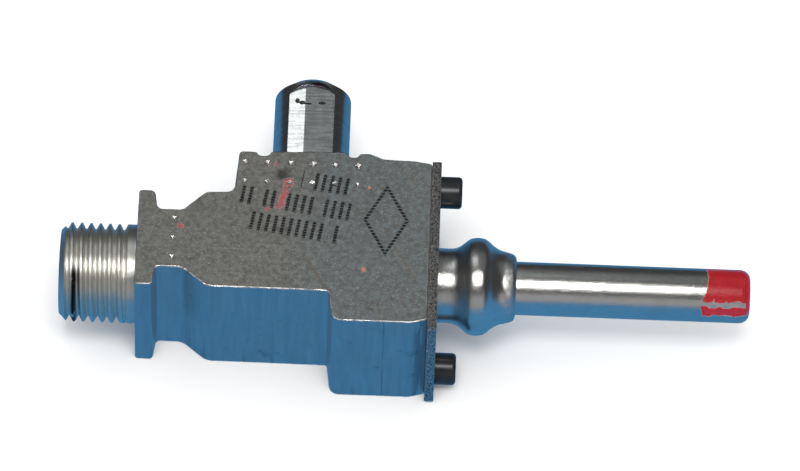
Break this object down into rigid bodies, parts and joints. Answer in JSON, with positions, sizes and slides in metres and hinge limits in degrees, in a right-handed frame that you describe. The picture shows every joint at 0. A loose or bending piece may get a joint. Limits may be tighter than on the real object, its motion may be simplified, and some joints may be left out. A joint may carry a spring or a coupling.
{
  "type": "gas valve",
  "caption": "Push-to-turn plug valve for a range burner: sawn aluminium body, threaded tube outlet, round inlet spigot, bolted cover, bonnet and knob stem.",
  "frame": {"origin": "on the body's back sawn face, below the crossing of the stem's axis and the inlet spigot's axis", "axes": "+X along the stem from the outlet to the knob end, +Y out along the inlet spigot, +Z normal to the sawn faces"},
  "size_m": [0.0774, 0.0362, 0.0155],
  "materials": {
    "body_aluminium": "sawn and machined, satin",
    "brass": "turned",
    "plated_steel": "satin plated",
    "plate_steel": "stamped, sheared edge",
    "spring_steel": "drawn wire",
    "black_oxide": "oiled black oxide",
    "nitrile": "moulded"
  },
  "bodies": {
    "root": {"valve_body": "body_aluminium", "stop_ring": "plate_steel", "stem_seal": "nitrile", "stem_bonnet": "plated_steel", "cover_plate": "plate_steel", "cover_screw_upper": "black_oxide", "cover_screw_lower": "black_oxide"},
    "plug": {"plug": "brass", "seat_washer": "plate_steel", "bypass_screw": "brass", "bypass_o_ring": "nitrile", "return_spring": "spring_steel"},
    "stem": {"stem": "plated_steel", "drive_collar": "plate_steel", "stem_snap_ring": "spring_steel"}
  },
  "joints": [
    {"name": "valve_turn", "type": "hinge", "parent": "root", "child": "plug", "pos_m": [0, 0, 0.00775], "axis": [1, 0, 0], "range_deg": [0, 215]},
    {"name": "stem_push", "type": "slide", "parent": "plug", "child": "stem", "axis": [-1, 0, 0], "range_m": [0, 0.0024], "stiffness_N_per_m": 1500, "springref_m": -0.004, "deforming": ["return_spring"]}
  ]
}
